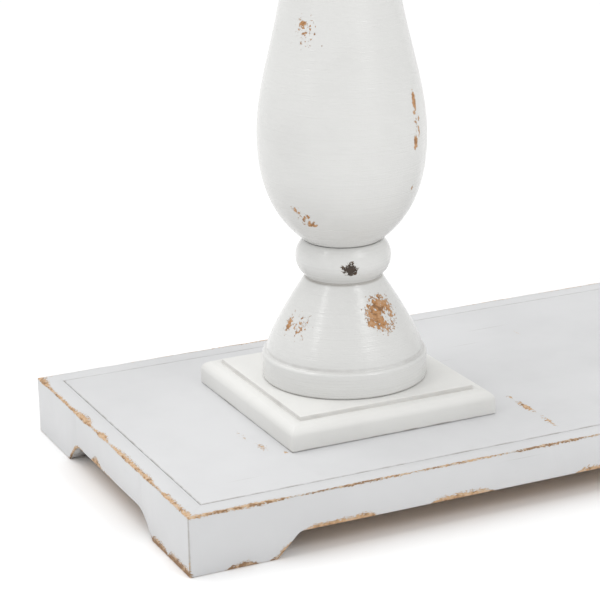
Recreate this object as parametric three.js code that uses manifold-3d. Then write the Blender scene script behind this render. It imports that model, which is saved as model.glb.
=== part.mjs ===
// A long wooden candle holder: a row of turned columns on a platform with bracket feet.
// Millimetres, +Z up. The origin is the middle of the platform's footprint, on the surface it
// stands on. X runs along the platform and the front faces -Y.

import * as THREE from 'three';
import { mergeVertices } from 'three/addons/utils/BufferGeometryUtils.js';
import Module from 'manifold-3d';

const wasm = await Module();
wasm.setup();

// Gaps between pieces that touch, and round the panel.
const GLUE_LINE = 0.3;
const PANEL_GROOVE = 0.5;

// How far a cutting shape runs past what it cuts.
const CUT_OVERRUN = 1;

// Platform.
const PLATFORM_LENGTH = 914.4;
const PLATFORM_DEPTH = 228.6;
const PLATFORM_HEIGHT = 33;
const APRON_THICKNESS = 12;
const PANEL_THICKNESS = 12;
const FOOT_WIDTH_LONG = 48.5;
const FOOT_WIDTH_END = 50.5;
const FOOT_CUT_HEIGHT = 12.9;
const LONG_CUT_FILLET = 4;
const END_CUT_FILLET = 20;
const BLOCK_WIDTH = 20;
const BLOCK_LIFT = 1.5;
const LEDGER_DEPTH = 14;
const LEDGER_HEIGHT = 7.5;

// Columns, placed from the platform's ends.
const COLUMN_NAMES = ['left', 'middle', 'right'];
const COLUMN_FROM_END = 143.7;

// Plinth: a square band with an ovolo that stops at a raised field.
const PLINTH_MARGIN = 16;
const PLINTH_BAND = 7.8;
const OVOLO_WIDTH = 7.2;
const OVOLO_HEIGHT = 5.8;
const QUIRK_LEDGE = 2.2;
const FIELD_RISE = 1.8;

// Foot turning: disc, bell and bead in one piece.
const DISC_RADIUS = 46;
const DISC_HEIGHT = 14.4;
const DISC_ROUND = 1.8;
const BELL_LEDGE = 2.5;
const BELL_LEDGE_RISE = 1;
const BELL_HEIGHT = 41;
const BELL_WALL_RISE = 8;
const BELL_WALL_LEAN = 0.5;
const BELL_SHOULDER_RUN = 7.9;
const BELL_SHOULDER_RISE = 12;
const CREASE_LIP = 0.7;
const CREASE_DEPTH = 1;
const CREASE_HEIGHT = 3.6;
const BEAD_EDGE_RADIUS = 22;
const BEAD_SWELL = 4.5;
const BEAD_HEIGHT = 19.4;

// Vase turning: a full belly that draws in to a slim neck.
const VASE_FOOT_INSET = 0.5;
const VASE_FLARE_RUN = 9.5;
const VASE_FLARE_RISE = 7.3;
const BELLY_RADIUS = 46.4;
const BELLY_HEIGHT = 58.3;
const BELLY_FULLNESS = 36.6;
const NECK_RADIUS = 27.5;
const NECK_HEIGHT = 187.3;
const NECK_FULLNESS = 62;
const COLLAR_FLARE = 2;
const COLLAR_HEIGHT = 6;

// Cup turning: bead, spreading cup and a shallow dish that takes a pillar candle.
const CUP_BEAD_SWELL = 3.5;
const CUP_BEAD_HEIGHT = 16;
const CUP_STEM_INSET = 3.5;
const CUP_BELL_HEIGHT = 32;
const RIM_RADIUS = 50;
const RIM_OVERHANG = 4;
const RIM_HEIGHT = 13;
const RIM_WALL = 4;
const DISH_DEPTH = 3;

// Hardware and dowels.
const BOLT_RADIUS = 4;
const BOLT_GRIP = 36;
const BOLT_HEAD_HEIGHT = 5.3;
const BOLT_HEAD_RADIUS = 7.5;
const WASHER_RADIUS = 12;
const WASHER_THICKNESS = 1.6;
const HOLE_CLEARANCE = 0.5;
const BORE_END_CLEARANCE = 2;
const DOWEL_RADIUS = 8;
const DOWEL_DEPTH = 22;
const SPIKE_RADIUS = 2.5;
const SPIKE_SHANK = 20;
const SPIKE_HEIGHT = 30;
const SPIKE_COLLAR_RADIUS = 6;
const SPIKE_COLLAR_HEIGHT = 1.5;

// Facets round a turned piece, round a small round piece and along a curve.
const TURNED_SIDES = 24;
const SMALL_SIDES = 16;
const CURVE_STEPS = 4;

const panelUnderside = PLATFORM_HEIGHT - PANEL_THICKNESS;
const plinthBottom = PLATFORM_HEIGHT + GLUE_LINE;
const plinthHeight = PLINTH_BAND + OVOLO_HEIGHT + FIELD_RISE;
const plinthHalf = DISC_RADIUS + PLINTH_MARGIN;
const footBottom = plinthBottom + plinthHeight + GLUE_LINE;
const bellRadius = DISC_RADIUS - BELL_LEDGE;
const bellNeckRadius = BEAD_EDGE_RADIUS + CREASE_LIP;
const bellTop = DISC_HEIGHT + BELL_HEIGHT;
const beadBottom = bellTop + CREASE_HEIGHT;
const footHeight = beadBottom + BEAD_HEIGHT;
const vaseBottom = footBottom + footHeight + GLUE_LINE;
const vaseFootRadius = BEAD_EDGE_RADIUS - VASE_FOOT_INSET;
const vaseHeight = NECK_HEIGHT + COLLAR_HEIGHT;
const collarRadius = NECK_RADIUS + COLLAR_FLARE;
const cupBottom = vaseBottom + vaseHeight + GLUE_LINE;
const cupHeight = CUP_BEAD_HEIGHT + CUP_BELL_HEIGHT + RIM_HEIGHT;
const dishFloor = cupHeight - DISH_DEPTH;
const collarSeat = dishFloor - SPIKE_COLLAR_HEIGHT - GLUE_LINE;
const headTop = panelUnderside - WASHER_THICKNESS - 2 * GLUE_LINE;
const dowelBore = DOWEL_RADIUS + HOLE_CLEARANCE;
const boltBore = BOLT_RADIUS + HOLE_CLEARANCE;
const spikeBore = SPIKE_RADIUS + HOLE_CLEARANCE;
const dowelBoreDepth = DOWEL_DEPTH + BORE_END_CLEARANCE;

const model = new THREE.Group();

const paintedWood = { color: 0xe6e5e1, roughness: 0.5, metalness: 0 };
const rawWood = { color: 0xc59a6d, roughness: 0.8, metalness: 0 };
const steel = { color: 0x9a9a98, roughness: 0.35, metalness: 1 };

function add(parent, name, geometry, finish) {
  const mesh = new THREE.Mesh(geometry, new THREE.MeshStandardMaterial(finish));
  mesh.name = name;
  parent.add(mesh);
  return mesh;
}

function toSolid(geometry) {
  const bare = geometry.clone();
  bare.deleteAttribute('normal');
  bare.deleteAttribute('uv');
  const merged = mergeVertices(bare);
  return new wasm.Manifold(new wasm.Mesh({
    numProp: 3,
    vertProperties: new Float32Array(merged.attributes.position.array),
    triVerts: new Uint32Array(merged.index.array),
  }));
}

function toGeometry(solid) {
  const { vertProperties, triVerts } = solid.getMesh();
  const geometry = new THREE.BufferGeometry();
  geometry.setAttribute('position', new THREE.BufferAttribute(vertProperties, 3));
  geometry.setIndex(new THREE.BufferAttribute(triVerts, 1));
  geometry.computeVertexNormals();
  return geometry;
}

// A rod along Z from z0 up to z1.
function rod(radius, z0, z1, sides = SMALL_SIDES) {
  const geometry = new THREE.CylinderGeometry(radius, radius, z1 - z0, sides);
  geometry.rotateX(Math.PI / 2);
  geometry.translate(0, 0, (z0 + z1) / 2);
  return geometry;
}

// A solid of revolution about Z, from an outline of radius and height that runs from the axis
// at the bottom to the axis at the top.
function turned(outline, sides = TURNED_SIDES) {
  const geometry = new THREE.LatheGeometry(outline.getPoints(CURVE_STEPS), sides);
  geometry.rotateX(Math.PI / 2);
  return geometry;
}

// Starts an outline at the bottom with a blind bore.
function boredBottom(boreRadius, boreDepth) {
  const outline = new THREE.Path();
  outline.moveTo(0, boreDepth);
  outline.lineTo(boreRadius, boreDepth);
  outline.lineTo(boreRadius, 0);
  return outline;
}

// Ends an outline at the top with a blind bore.
function boredTop(outline, top, boreRadius, boreDepth) {
  outline.lineTo(boreRadius, top);
  outline.lineTo(boreRadius, top - boreDepth);
  outline.lineTo(0, top - boreDepth);
}

// A half-round swelling from the outline's last point up to the same radius.
function bead(outline, edgeRadius, swell, bottom, height) {
  const fullRadius = edgeRadius + swell;
  const half = height / 2;
  const radius = (half * half + swell * swell) / (2 * swell);
  const reach = Math.asin(half / radius);
  outline.absarc(fullRadius - radius, bottom + half, radius, -reach, reach, false);
}

// ---- Platform ----

// An apron's face: a board with the lower edge cut out between its two feet.
function apronOutline(length, footWidth, fillet) {
  const half = length / 2;
  const reach = fillet * Math.tan(Math.PI / 8);
  const corner = half - footWidth - FOOT_CUT_HEIGHT;
  const outline = new THREE.Shape();
  outline.moveTo(-half, PLATFORM_HEIGHT);
  outline.lineTo(-half, 0);
  outline.lineTo(-half + footWidth, 0);
  outline.lineTo(-corner - reach * Math.SQRT1_2, FOOT_CUT_HEIGHT - reach * Math.SQRT1_2);
  outline.absarc(-corner + reach, FOOT_CUT_HEIGHT - fillet, fillet, Math.PI * 0.75, Math.PI / 2, true);
  outline.absarc(corner - reach, FOOT_CUT_HEIGHT - fillet, fillet, Math.PI / 2, Math.PI / 4, true);
  outline.lineTo(half - footWidth, 0);
  outline.lineTo(half, 0);
  outline.lineTo(half, PLATFORM_HEIGHT);
  return outline;
}

// An apron along X with its outer face on y = 0, mitred at both ends.
function apronGeometry(length, footWidth, fillet) {
  const board = new THREE.ExtrudeGeometry(apronOutline(length, footWidth, fillet), {
    depth: APRON_THICKNESS,
    bevelEnabled: false,
    curveSegments: CURVE_STEPS,
  });
  board.rotateX(Math.PI / 2);
  board.translate(0, APRON_THICKNESS, 0);

  const half = length / 2 - GLUE_LINE * Math.SQRT1_2;
  const plan = new THREE.Shape();
  const inside = APRON_THICKNESS + CUT_OVERRUN;
  plan.moveTo(-half - CUT_OVERRUN, -CUT_OVERRUN);
  plan.lineTo(half + CUT_OVERRUN, -CUT_OVERRUN);
  plan.lineTo(half - inside, inside);
  plan.lineTo(-half + inside, inside);
  const depth = PLATFORM_HEIGHT + 2 * CUT_OVERRUN;
  const mitred = new THREE.ExtrudeGeometry(plan, { depth, bevelEnabled: false });
  mitred.translate(0, 0, -CUT_OVERRUN);
  return toGeometry(toSolid(board).intersect(toSolid(mitred)));
}

function addAprons(parent) {
  const long = apronGeometry(PLATFORM_LENGTH, FOOT_WIDTH_LONG, LONG_CUT_FILLET);
  const end = apronGeometry(PLATFORM_DEPTH, FOOT_WIDTH_END, END_CUT_FILLET);
  const front = add(parent, 'apron_front', long, paintedWood);
  front.position.y = -PLATFORM_DEPTH / 2;
  const back = add(parent, 'apron_back', long.clone(), paintedWood);
  back.position.y = PLATFORM_DEPTH / 2;
  back.rotation.z = Math.PI;
  const left = add(parent, 'apron_left', end, paintedWood);
  left.position.x = -PLATFORM_LENGTH / 2;
  left.rotation.z = -Math.PI / 2;
  const right = add(parent, 'apron_right', end.clone(), paintedWood);
  right.position.x = PLATFORM_LENGTH / 2;
  right.rotation.z = Math.PI / 2;
}

function addPanel(parent, columnPlaces) {
  const length = PLATFORM_LENGTH - 2 * (APRON_THICKNESS + PANEL_GROOVE);
  const depth = PLATFORM_DEPTH - 2 * (APRON_THICKNESS + PANEL_GROOVE);
  const board = new THREE.BoxGeometry(length, depth, PANEL_THICKNESS);
  board.translate(0, 0, panelUnderside + PANEL_THICKNESS / 2);
  let panel = toSolid(board);
  for (const x of columnPlaces) {
    const hole = rod(boltBore, panelUnderside - CUT_OVERRUN, PLATFORM_HEIGHT + CUT_OVERRUN);
    hole.translate(x, 0, 0);
    panel = panel.subtract(toSolid(hole));
  }
  add(parent, 'top_panel', toGeometry(panel), paintedWood);
}

// Glue blocks behind the feet and ledgers under the panel's long edges.
function addBracing(parent) {
  const innerLength = PLATFORM_LENGTH - 2 * APRON_THICKNESS;
  const innerDepth = PLATFORM_DEPTH - 2 * APRON_THICKNESS;
  const blockTop = panelUnderside - GLUE_LINE;
  const blockX = innerLength / 2 - GLUE_LINE - BLOCK_WIDTH / 2;
  const blockY = innerDepth / 2 - GLUE_LINE - BLOCK_WIDTH / 2;
  for (const [depthName, side] of [['front', -1], ['back', 1]]) {
    for (const [endName, end] of [['left', -1], ['right', 1]]) {
      const block = new THREE.BoxGeometry(BLOCK_WIDTH, BLOCK_WIDTH, blockTop - BLOCK_LIFT);
      const mesh = add(parent, `corner_block_${depthName}_${endName}`, block, rawWood);
      mesh.position.set(end * blockX, side * blockY, (blockTop + BLOCK_LIFT) / 2);
    }
    const length = innerLength - 2 * (BLOCK_WIDTH + 2 * GLUE_LINE);
    const ledger = new THREE.BoxGeometry(length, LEDGER_DEPTH, LEDGER_HEIGHT);
    const mesh = add(parent, `ledger_${depthName}`, ledger, rawWood);
    mesh.position.y = side * (innerDepth / 2 - GLUE_LINE - LEDGER_DEPTH / 2);
    mesh.position.z = blockTop - LEDGER_HEIGHT / 2;
  }
}

// ---- Columns ----

// A square moulding, turned with four sides so that its corners are mitres.
function plinthGeometry() {
  const corner = Math.SQRT2;
  const bandTop = PLINTH_BAND;
  const ovoloTop = bandTop + OVOLO_HEIGHT;
  const ledge = plinthHalf - OVOLO_WIDTH;
  const field = ledge - QUIRK_LEDGE;
  const outline = new THREE.Path();
  outline.moveTo(0, 0);
  outline.lineTo(plinthHalf * corner, 0);
  outline.lineTo(plinthHalf * corner, bandTop);
  outline.absellipse(ledge * corner, bandTop, OVOLO_WIDTH * corner, OVOLO_HEIGHT, 0, Math.PI / 2, false);
  outline.lineTo(field * corner, ovoloTop);
  outline.lineTo(field * corner, plinthHeight);
  outline.lineTo(0, plinthHeight);
  const block = turned(outline, 4);
  block.rotateZ(Math.PI / 4);
  const hole = rod(boltBore, -CUT_OVERRUN, plinthHeight + CUT_OVERRUN);
  return toGeometry(toSolid(block).subtract(toSolid(hole)));
}

function footGeometry() {
  const outline = boredBottom(boltBore, BOLT_GRIP + BORE_END_CLEARANCE);
  outline.lineTo(DISC_RADIUS, 0);
  outline.lineTo(DISC_RADIUS, DISC_HEIGHT - DISC_ROUND);
  outline.quadraticCurveTo(DISC_RADIUS, DISC_HEIGHT, DISC_RADIUS - DISC_ROUND, DISC_HEIGHT);
  outline.lineTo(bellRadius, DISC_HEIGHT + BELL_LEDGE_RISE);
  outline.bezierCurveTo(
    bellRadius - BELL_WALL_LEAN, DISC_HEIGHT + BELL_WALL_RISE,
    bellNeckRadius + BELL_SHOULDER_RUN, bellTop - BELL_SHOULDER_RISE,
    bellNeckRadius, bellTop,
  );
  outline.lineTo(bellNeckRadius - CREASE_DEPTH, bellTop + CREASE_HEIGHT / 2);
  outline.lineTo(BEAD_EDGE_RADIUS, beadBottom);
  bead(outline, BEAD_EDGE_RADIUS, BEAD_SWELL, beadBottom, BEAD_HEIGHT);
  boredTop(outline, footHeight, dowelBore, dowelBoreDepth);
  return turned(outline);
}

function vaseGeometry() {
  const outline = boredBottom(dowelBore, dowelBoreDepth);
  outline.lineTo(vaseFootRadius, 0);
  outline.bezierCurveTo(
    vaseFootRadius + VASE_FLARE_RUN, VASE_FLARE_RISE,
    BELLY_RADIUS, BELLY_HEIGHT - BELLY_FULLNESS,
    BELLY_RADIUS, BELLY_HEIGHT,
  );
  outline.bezierCurveTo(
    BELLY_RADIUS, BELLY_HEIGHT + BELLY_FULLNESS,
    NECK_RADIUS, NECK_HEIGHT - NECK_FULLNESS,
    NECK_RADIUS, NECK_HEIGHT,
  );
  outline.quadraticCurveTo(NECK_RADIUS, vaseHeight, collarRadius, vaseHeight);
  boredTop(outline, vaseHeight, dowelBore, dowelBoreDepth);
  return turned(outline);
}

function cupGeometry() {
  const bellBottom = CUP_BEAD_HEIGHT;
  const rimBottom = bellBottom + CUP_BELL_HEIGHT;
  const stemRadius = collarRadius - CUP_STEM_INSET;
  const bellRimRadius = RIM_RADIUS - RIM_OVERHANG;
  const outline = boredBottom(dowelBore, dowelBoreDepth);
  outline.lineTo(collarRadius, 0);
  bead(outline, collarRadius, CUP_BEAD_SWELL, 0, CUP_BEAD_HEIGHT);
  outline.lineTo(stemRadius, bellBottom);
  outline.bezierCurveTo(
    stemRadius, bellBottom + CUP_BELL_HEIGHT / 2,
    bellRimRadius, bellBottom + CUP_BELL_HEIGHT / 2,
    bellRimRadius, rimBottom,
  );
  outline.lineTo(RIM_RADIUS, rimBottom);
  outline.lineTo(RIM_RADIUS, cupHeight - DISC_ROUND);
  outline.quadraticCurveTo(RIM_RADIUS, cupHeight, RIM_RADIUS - DISC_ROUND, cupHeight);
  outline.lineTo(RIM_RADIUS - RIM_WALL, cupHeight);
  outline.lineTo(RIM_RADIUS - RIM_WALL - DISH_DEPTH / 2, dishFloor);
  outline.lineTo(SPIKE_COLLAR_RADIUS + HOLE_CLEARANCE, dishFloor);
  outline.lineTo(SPIKE_COLLAR_RADIUS + HOLE_CLEARANCE, collarSeat);
  boredTop(outline, collarSeat, spikeBore, SPIKE_SHANK + BORE_END_CLEARANCE);
  return turned(outline);
}

// A hexagon-headed bolt, driven up through the panel and plinth into the foot turning.
function boltGeometry() {
  const shankTop = footBottom + BOLT_GRIP;
  const shank = rod(BOLT_RADIUS, headTop - BOLT_HEAD_HEIGHT / 2, shankTop);
  const head = rod(BOLT_HEAD_RADIUS, headTop - BOLT_HEAD_HEIGHT, headTop, 6);
  return toGeometry(toSolid(shank).add(toSolid(head)));
}

function washerGeometry() {
  const top = panelUnderside - GLUE_LINE;
  const disc = toSolid(rod(WASHER_RADIUS, top - WASHER_THICKNESS, top));
  const hole = toSolid(rod(boltBore, top - WASHER_THICKNESS - CUT_OVERRUN, top + CUT_OVERRUN));
  return toGeometry(disc.subtract(hole));
}

function dowelGeometry() {
  return rod(DOWEL_RADIUS, -DOWEL_DEPTH, DOWEL_DEPTH);
}

// The spike that holds a candle: a shank in the cup, a collar let in flush with the dish and a
// point. Its own zero is the dish floor.
function spikeGeometry() {
  const outline = new THREE.Path();
  outline.moveTo(0, -SPIKE_SHANK);
  outline.lineTo(SPIKE_RADIUS, -SPIKE_SHANK);
  outline.lineTo(SPIKE_RADIUS, -SPIKE_COLLAR_HEIGHT);
  outline.lineTo(SPIKE_COLLAR_RADIUS, -SPIKE_COLLAR_HEIGHT);
  outline.lineTo(SPIKE_COLLAR_RADIUS, 0);
  outline.lineTo(SPIKE_RADIUS, 0);
  outline.lineTo(0, SPIKE_HEIGHT);
  return turned(outline, SMALL_SIDES);
}

function addColumn(parent, name, x) {
  const column = new THREE.Group();
  column.position.x = x;
  parent.add(column);
  add(column, `base_bolt_${name}`, boltGeometry(), steel);
  add(column, `base_washer_${name}`, washerGeometry(), steel);
  add(column, `plinth_${name}`, plinthGeometry(), paintedWood).position.z = plinthBottom;
  add(column, `foot_turning_${name}`, footGeometry(), paintedWood).position.z = footBottom;
  add(column, `vase_dowel_${name}`, dowelGeometry(), rawWood).position.z = vaseBottom - GLUE_LINE / 2;
  add(column, `vase_turning_${name}`, vaseGeometry(), paintedWood).position.z = vaseBottom;
  add(column, `cup_dowel_${name}`, dowelGeometry(), rawWood).position.z = cupBottom - GLUE_LINE / 2;
  add(column, `cup_turning_${name}`, cupGeometry(), paintedWood).position.z = cupBottom;
  add(column, `candle_spike_${name}`, spikeGeometry(), steel).position.z = cupBottom + dishFloor;
}

const columnSpan = PLATFORM_LENGTH - 2 * COLUMN_FROM_END;
const columnPlaces = COLUMN_NAMES.map((name, i) => {
  return -columnSpan / 2 + (i * columnSpan) / (COLUMN_NAMES.length - 1);
});

addAprons(model);
addPanel(model, columnPlaces);
addBracing(model);
COLUMN_NAMES.forEach((name, i) => addColumn(model, name, columnPlaces[i]));

export default model;
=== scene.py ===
"""A long candle holder in worn white paint: turned columns on a platform with bracket feet.

The frame gives every node's box, and each visible piece is modelled again here, finer, inside it.
Lengths are metres. X runs along the platform, the front faces -Y and Z is up.
"""

import math

import bmesh
import bpy
from mathutils import Matrix, Vector, noise
from mathutils.geometry import interpolate_bezier


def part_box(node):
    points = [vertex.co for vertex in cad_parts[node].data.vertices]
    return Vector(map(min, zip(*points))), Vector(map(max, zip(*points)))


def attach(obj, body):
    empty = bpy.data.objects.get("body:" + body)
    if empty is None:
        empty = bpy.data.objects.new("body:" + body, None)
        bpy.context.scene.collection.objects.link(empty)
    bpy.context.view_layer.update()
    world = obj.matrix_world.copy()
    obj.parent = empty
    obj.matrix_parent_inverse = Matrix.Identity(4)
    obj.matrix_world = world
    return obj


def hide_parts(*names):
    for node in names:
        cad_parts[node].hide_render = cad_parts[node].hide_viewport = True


bl_info = {
    "name": "Long Candle Holder",
    "version": (1, 0, 0),
    "blender": (4, 5, 0),
    "location": "View3D > Sidebar > Candle Holder",
    "description": "Builds a long candle holder in worn white paint around its packed frame",
    "category": "Add Mesh",
}

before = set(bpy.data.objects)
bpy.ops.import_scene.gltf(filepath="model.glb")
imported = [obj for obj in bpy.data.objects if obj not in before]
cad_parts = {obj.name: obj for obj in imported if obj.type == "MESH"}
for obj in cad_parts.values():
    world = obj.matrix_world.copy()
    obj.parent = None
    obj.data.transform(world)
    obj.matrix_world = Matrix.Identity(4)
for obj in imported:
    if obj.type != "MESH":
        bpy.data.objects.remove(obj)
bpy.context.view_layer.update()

MM = 0.001
BODY = "root"
COLUMNS = ("left", "middle", "right")
# Each column's wear is turned round by its own angle, so that no two look alike.
COLUMN_TURNS = {"left": 0.0, "middle": 118.0, "right": 236.0}
HARD_CORNER = math.radians(25)
SHARP_EDGE = math.radians(34)
JOIN_DISTANCE = 1e-6
# Depth of the relief in the paint and the bare wood.
RELIEF = 0.25 * MM
# How much longer each half board is than its node, because paint fills the mitres.
MITRE_CLOSING = 0.19 * MM
# Handle lengths of a quarter circle and of an eased corner, as a share of the radius.
QUARTER_CIRCLE = 0.5523
EASED_CORNER = 0.55
# Steps along a small curve.
FEW_STEPS = 8

# Details of the pieces that stay the same when the sizes below change.
GLUE_LINE = 0.3 * MM
COVE_RUN = 0.2 * MM
COVE_START = 0.1 * MM
COVE_BEND = 0.4 * MM
COVE_RISE = 1.6 * MM
BELL_WALL_LEAN = 0.5 * MM
BELL_WALL_RISE = 8 * MM
BELL_SHOULDER_RUN = 7.9 * MM
BELL_SHOULDER_RISE = 12 * MM
CREASE_LIP_RUN = 0.5 * MM
CREASE_LIP_RISE = 0.9 * MM
CREASE_DEPTH = 2 * MM
CREASE_MIDDLE = 0.6
BEAD_LIP_RUN = 0.3 * MM
BEAD_LIP_DROP = 0.5 * MM
VASE_FLARE_RUN = 9.5 * MM
VASE_FLARE_RISE = 7.3 * MM
COLLAR_FLARE = 0.67
SPIKE_POINT = 6 * MM
SPIKE_EASE = 0.3 * MM
HEAD_CHAMFER = 0.6 * MM
HEAD_OVERLAP = 1 * MM
BOLT_POINT = 4 * MM
WASHER_EASE = 0.25 * MM
BRACING_EASE = 0.6 * MM
PANEL_SWELL = 0.4 * MM

# The stage, in metres, with the sensor in millimetres.
FLOOR_REACH = 30.0
LAMP_DISTANCE = 1.7
LAMP_AIM_HEIGHT = 0.1
SENSOR_WIDTH = 36.0
NEAREST = 0.01
FURTHEST = 100.0


def box_size(node):
    low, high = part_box(node)
    return high - low


def box_centre(node):
    low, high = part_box(node)
    return (low + high) / 2


LEFT_X = box_centre("vase_turning_left").x


# ---- Sizes and colours that a user may change ----


def length(name, description, millimetres):
    return bpy.props.FloatProperty(
        name=name, description=description, default=millimetres * MM, unit="LENGTH", precision=5
    )


def colour(name, description, default):
    return bpy.props.FloatVectorProperty(
        name=name, description=description, default=default, subtype="COLOR", min=0, max=1
    )


class PaintSettings(bpy.types.PropertyGroup):
    """Colours of the paint and of the wood under it."""

    platform: colour("Platform", "White paint on the platform", (0.642, 0.645, 0.652))
    column: colour("Column", "Warmer white paint on the columns", (0.71, 0.71, 0.695))
    # Painted light: lighter than the columns' paint, to make up for the shade that the column casts on
    # the mouldings.
    plinth: colour("Plinth", "White paint on the square mouldings", (0.76, 0.757, 0.735))
    primer: colour("Primer", "Cream undercoat that shows round a chip", (0.66, 0.59, 0.48))
    tan: colour("Tan wood", "Bare wood where an edge has worn", (0.57, 0.365, 0.205))
    orange: colour("Orange wood", "Bare wood in a chip", (0.47, 0.23, 0.085))
    brown: colour("Brown wood", "Stained wood in the deepest wear", (0.17, 0.085, 0.035))
    dark: colour("Dark chip", "Wood in the darkest chip", (0.04, 0.024, 0.014))
    # One dark colour for grime, and for painted shade in creases, in the quirk and where parts sit on
    # each other.
    grime_and_shade: colour("Dirt", "Grime in the grooves and under the edges", (0.2, 0.165, 0.125))
    hidden: colour("Hidden wood", "Unpainted wood under the platform", (0.42, 0.28, 0.16))
    satin: bpy.props.FloatProperty(
        name="Satin", description="Roughness of the platform's paint", default=0.42, min=0, max=1,
        subtype="FACTOR",
    )
    gloss: bpy.props.FloatProperty(
        name="Gloss", description="Roughness of the columns' paint", default=0.15, min=0, max=1,
        subtype="FACTOR",
    )


class PlatformSettings(bpy.types.PropertyGroup):
    """Sizes of the platform's boards."""

    foot_long: length("Long foot", "Width of a foot on the long sides", 48.5)
    foot_end: length("End foot", "Width of a foot on the ends", 50.5)
    cut_height: length("Cut height", "Height of the cut-outs between the feet", 12.9)
    fillet_long: length("Long fillet", "Rounding where a long cut-out meets its foot", 1.5)
    fillet_end: length("End fillet", "Rounding where an end cut-out meets its foot", 7)
    edge: length("Edge", "Easing of the boards' edges", 0.7)
    wear: length("Wear", "Depth that handling has worn off the top edges", 0.8)
    station: length("Station", "Distance between the cross sections along a board", 5)


class PlinthSettings(bpy.types.PropertyGroup):
    """Sizes of the square moulding under each column."""

    band: length("Band", "Height of the plain band", 7.8)
    ovolo_width: length("Ovolo width", "How far the ovolo runs in", 7.2)
    ovolo_height: length("Ovolo height", "Height of the ovolo", 5.8)
    ledge: length("Ledge", "Width of the flat beside the raised field", 2.2)
    quirk: length("Quirk", "Depth of the groove at the field's foot", 0.5)
    edge: length("Edge", "Easing of the edges under the paint", 0.35)


class TurningSettings(bpy.types.PropertyGroup):
    """Sizes of the turned pieces."""

    steps: bpy.props.IntProperty(
        name="Steps", description="Faces round a turned piece", default=144, min=16
    )
    edge: length("Edge", "Easing of the turned edges", 0.5)
    disc_height: length("Disc height", "Height of the disc under the bell", 14.4)
    disc_round: length("Disc round", "Rounding of the disc's upper edge", 1.8)
    bell_radius: length("Bell radius", "Radius at the foot of the bell", 43.5)
    bell_height: length("Bell height", "Height of the bell", 41)
    bell_neck: length("Bell neck", "Radius at the top of the bell", 22.7)
    crease: length("Crease", "Height of the crease under the bead", 3.6)
    bead_edge: length("Bead edge", "Radius at the bead's edges", 22)
    bead_swell: length("Bead swell", "How far the bead swells past its edges", 4.5)
    vase_foot: length("Vase foot", "Radius at the foot of the vase", 21.5)
    belly_height: length("Belly height", "Height of the widest place", 58.3)
    belly_fullness: length("Belly fullness", "How far the belly stays full", 36.6)
    neck: length("Neck", "Radius of the neck", 27.5)
    neck_fullness: length("Neck fullness", "How far the neck stays slim", 62)
    collar: length("Collar", "Radius at the top of the vase", 29.5)
    collar_height: length("Collar height", "Height of the flare at the top of the vase", 6)
    cup_bead: length("Cup bead", "Height of the bead under the cup", 16)
    cup_bead_radius: length("Cup bead radius", "Radius of the bead under the cup", 33)
    cup_stem: length("Cup stem", "Radius where the cup starts to spread", 26)
    cup_height: length("Cup height", "Height of the spreading part", 32)
    cup_radius: length("Cup radius", "Radius under the rim", 46)
    rim_wall: length("Rim wall", "Width of the rim round the dish", 4)
    dish_depth: length("Dish depth", "Depth of the dish", 3)


class HardwareSettings(bpy.types.PropertyGroup):
    """Sizes of the spikes, bolts and dowel holes."""

    dowel_bore: length("Dowel bore", "Radius of the dowel holes", 8.5)
    dowel_depth: length("Dowel depth", "Depth of the dowel holes", 24)
    bolt_bore: length("Bolt bore", "Radius of the bolt hole", 4.5)
    bolt_depth: length("Bolt depth", "Depth of the bolt hole in the foot", 38)
    spike_bore: length("Spike bore", "Radius of the spike's hole", 3)
    spike_depth: length("Spike depth", "Depth of the spike's hole", 20.2)
    spike_shank: length("Spike shank", "Radius of the spike's shank", 2.5)
    collar: length("Collar", "Thickness of the spike's collar", 1.5)
    clearance: length("Clearance", "Gap round the spike's collar", 0.5)
    bolt_shank: length("Bolt shank", "Radius of the bolt's shank", 4)
    bolt_head: length("Bolt head", "Height of the bolt's head", 5.3)


class StageSettings(bpy.types.PropertyGroup):
    """The camera's place and the light."""

    azimuth: bpy.props.FloatProperty(
        name="Azimuth", description="Camera's bearing from the front",
        default=math.radians(-25.08), subtype="ANGLE",
    )
    elevation: bpy.props.FloatProperty(
        name="Elevation", description="Camera's height above the horizon",
        default=math.radians(17.97), subtype="ANGLE",
    )
    roll: bpy.props.FloatProperty(
        name="Roll", description="Turn of the camera about its own axis",
        default=math.radians(-1.04), subtype="ANGLE",
    )
    lens: bpy.props.FloatProperty(
        name="Lens", description="Focal length in millimetres", default=130.3, min=10, unit="CAMERA"
    )
    distance: length("Distance", "From the camera to the point it looks at", 1197.4)
    aim_x: length("Aim along", "Aim point's distance from the left column's axis", -26.9)
    aim_z: length("Aim height", "Aim point's height", 95.2)
    floor: colour("Floor", "Pale floor", (0.96, 0.96, 0.96))
    key: bpy.props.FloatProperty(name="Key", description="Strength of the key", default=1.1, min=0)
    strip: bpy.props.FloatProperty(
        name="Strips", description="Power of each strip", default=3.4, min=0, unit="POWER"
    )
    fill: bpy.props.FloatProperty(
        name="Fill", description="Power of the low fill", default=1.3, min=0, unit="POWER"
    )
    ambient: bpy.props.FloatProperty(name="Surround", description="White surround", default=0.74, min=0)


class CandleHolderSettings(bpy.types.PropertyGroup):
    """Everything that the candle holder's panel shows."""

    paint: bpy.props.PointerProperty(type=PaintSettings)
    platform: bpy.props.PointerProperty(type=PlatformSettings)
    plinth: bpy.props.PointerProperty(type=PlinthSettings)
    turning: bpy.props.PointerProperty(type=TurningSettings)
    hardware: bpy.props.PointerProperty(type=HardwareSettings)
    stage: bpy.props.PointerProperty(type=StageSettings)


def settings():
    return bpy.context.scene.candle_holder


# ---- Finishes ----


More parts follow.
